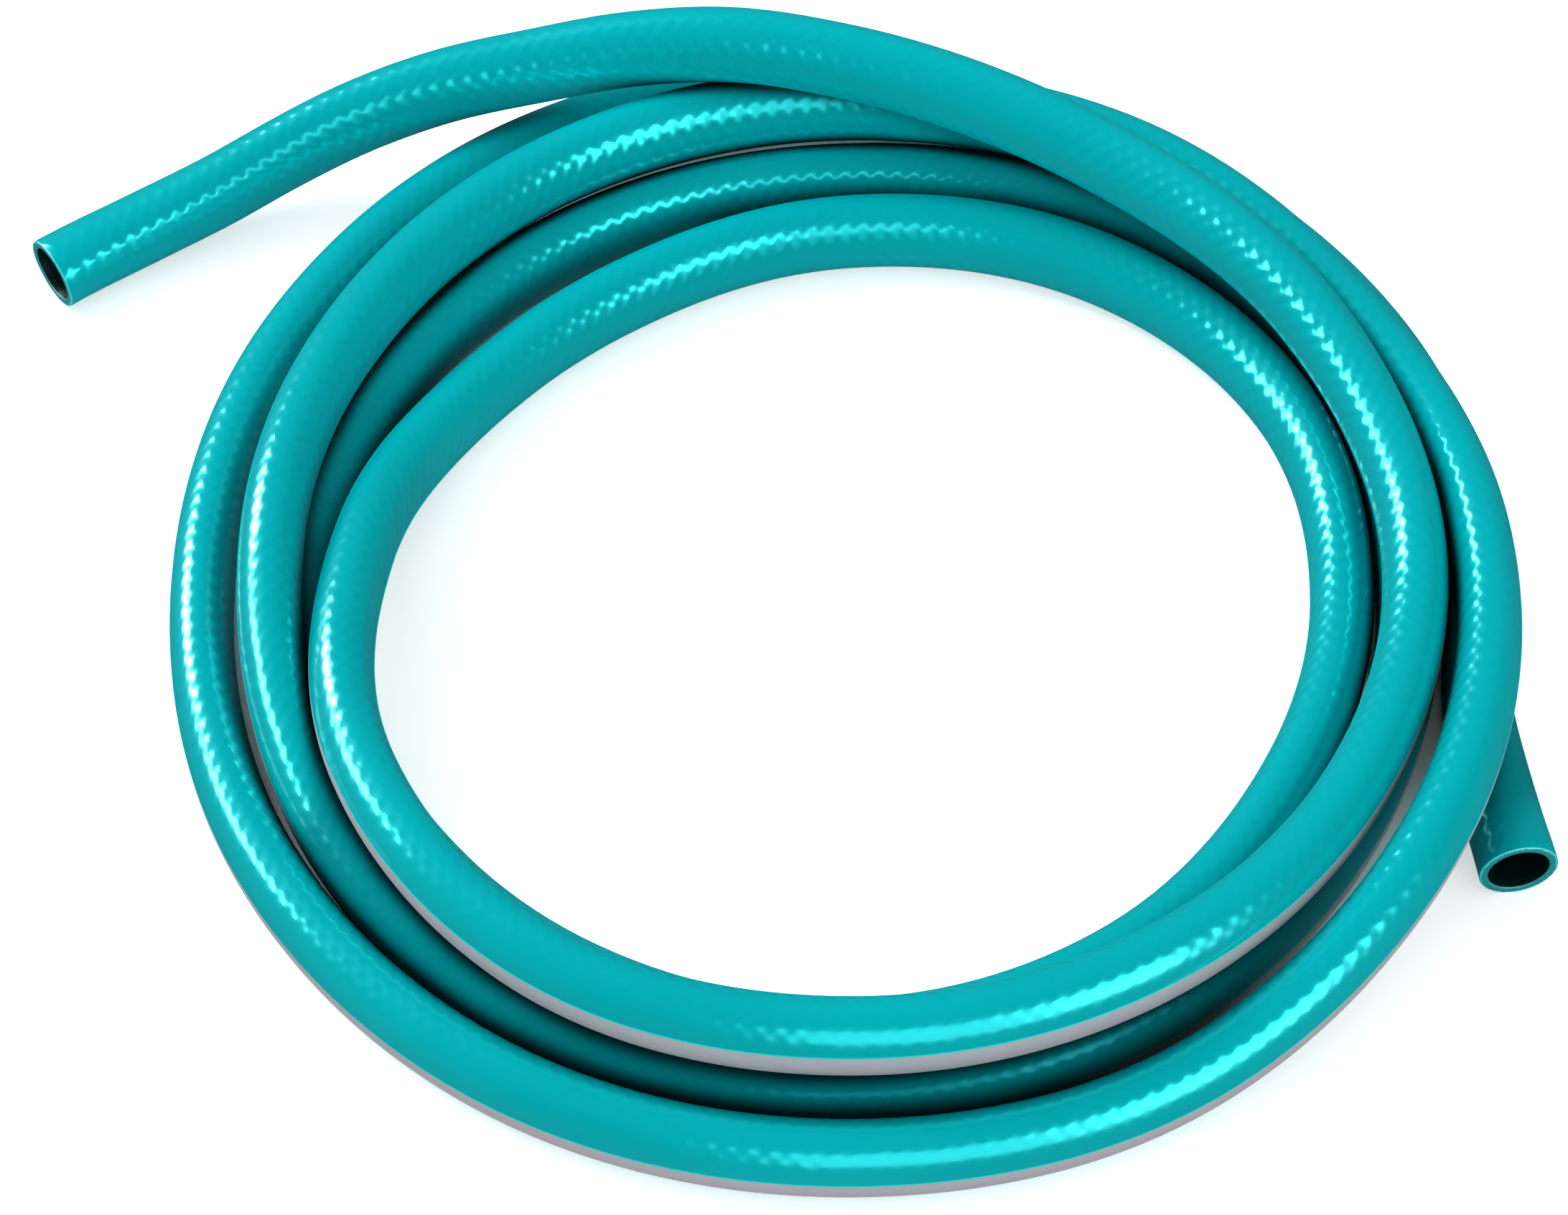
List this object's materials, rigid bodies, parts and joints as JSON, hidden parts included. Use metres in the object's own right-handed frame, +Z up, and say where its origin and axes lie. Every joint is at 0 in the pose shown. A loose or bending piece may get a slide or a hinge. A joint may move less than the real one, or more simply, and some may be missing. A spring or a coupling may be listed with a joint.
{
  "type": "garden hose",
  "caption": "Braided soft PVC garden hose lying in a loose coil on the ground, with plain cut ends.",
  "frame": {"origin": "middle of the coil's footprint, on the floor it lies on", "axes": "+X along the coil's longest side, to the right as the coil is seen from its front; +Y away from the front; +Z up, off the floor"},
  "size_m": [0.4074, 0.3704, 0.0686],
  "materials": {
    "hose_pvc": "gloss"
  },
  "bodies": {
    "root": {"hose": "hose_pvc"}
  },
  "joints": []
}
